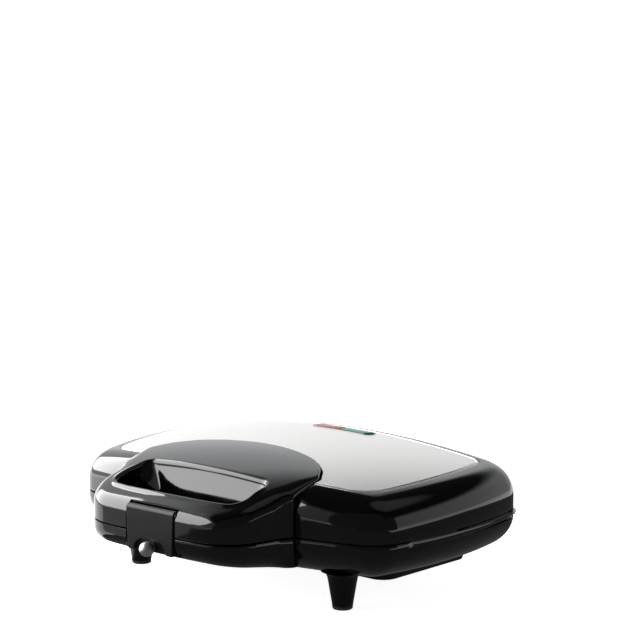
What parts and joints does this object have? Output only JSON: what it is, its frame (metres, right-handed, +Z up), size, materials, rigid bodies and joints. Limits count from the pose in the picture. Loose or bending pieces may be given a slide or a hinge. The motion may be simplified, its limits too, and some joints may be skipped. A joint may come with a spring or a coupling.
{
  "type": "donut maker",
  "caption": "Closed countertop donut maker with rounded hinged housings, steel lid cover, loop carry handle, front latch with ball knob, indicator window and tapered feet.",
  "frame": {"origin": "on the worktop, under the middle of the whole object's bounding box", "axes": "+X to the object's right, +Y from the handle to the hinge, +Z up"},
  "size_m": [0.2516, 0.2102, 0.0795],
  "materials": {
    "black_gloss": "polished",
    "black_matte": "fine texture",
    "foot_rubber": "matte",
    "stainless": "fine brushed",
    "non_stick": "dark non-stick coating",
    "heater_sheath": "oxidised",
    "reflector_steel": "bright",
    "plain_steel": "zinc plated",
    "chrome": "mirror polish",
    "red_lens": "tinted clear",
    "green_lens": "tinted clear",
    "white_ceramic": "unglazed",
    "board": "laminate",
    "lamp_glass": "clear"
  },
  "bodies": {
    "base": {"lower_housing": "black_gloss", "lower_handle": "black_gloss", "lower_cooking_plate": "non_stick", "lower_heating_element": "heater_sheath", "lower_reflector": "reflector_steel", "bottom_tray": "black_matte", "latch_catch": "plain_steel", "cord_bush": "black_matte", "terminal_block": "white_ceramic", "thermal_fuse": "heater_sheath", "lower_plate_screw_left": "plain_steel", "lower_plate_screw_right": "plain_steel", "lower_handle_screw_left": "plain_steel", "lower_handle_screw_right": "plain_steel", "front_foot_left": "black_matte", "front_foot_right": "black_matte", "front_pad_left": "foot_rubber", "front_pad_right": "foot_rubber", "rear_foot_left": "black_matte", "rear_foot_right": "black_matte", "rear_pad_left": "foot_rubber", "rear_pad_right": "foot_rubber", "base_hinge_left": "plain_steel", "base_hinge_right": "plain_steel", "hinge_pin_left": "plain_steel", "hinge_pin_right": "plain_steel"},
    "lid": {"upper_housing": "black_gloss", "upper_handle": "black_gloss", "stainless_cover": "stainless", "upper_cooking_plate": "non_stick", "upper_heating_element": "heater_sheath", "upper_reflector": "reflector_steel", "thermostat": "white_ceramic", "indicator_bezel": "black_gloss", "lamp_board": "board", "latch_pin": "plain_steel", "latch_spring": "plain_steel", "red_lens": "red_lens", "green_lens": "green_lens", "upper_plate_screw_left": "plain_steel", "upper_plate_screw_right": "plain_steel", "upper_handle_screw_left": "plain_steel", "upper_handle_screw_right": "plain_steel", "lid_hinge_left": "plain_steel", "lid_hinge_right": "plain_steel", "lamp_left": "lamp_glass", "lamp_right": "lamp_glass"},
    "latch": {"latch_plate": "black_gloss", "latch_knob": "chrome"}
  },
  "joints": [
    {"name": "lid_hinge", "type": "hinge", "parent": "base", "child": "lid", "pos_m": [0, 0.101, 0.0439], "axis": [-1, 0, 0], "range_deg": [0, 100]},
    {"name": "latch_pivot", "type": "hinge", "parent": "lid", "child": "latch", "pos_m": [0, -0.0969, 0.0556], "axis": [-1, 0, 0], "range_deg": [0, 25], "stiffness_Nm_per_rad": 0.02}
  ]
}
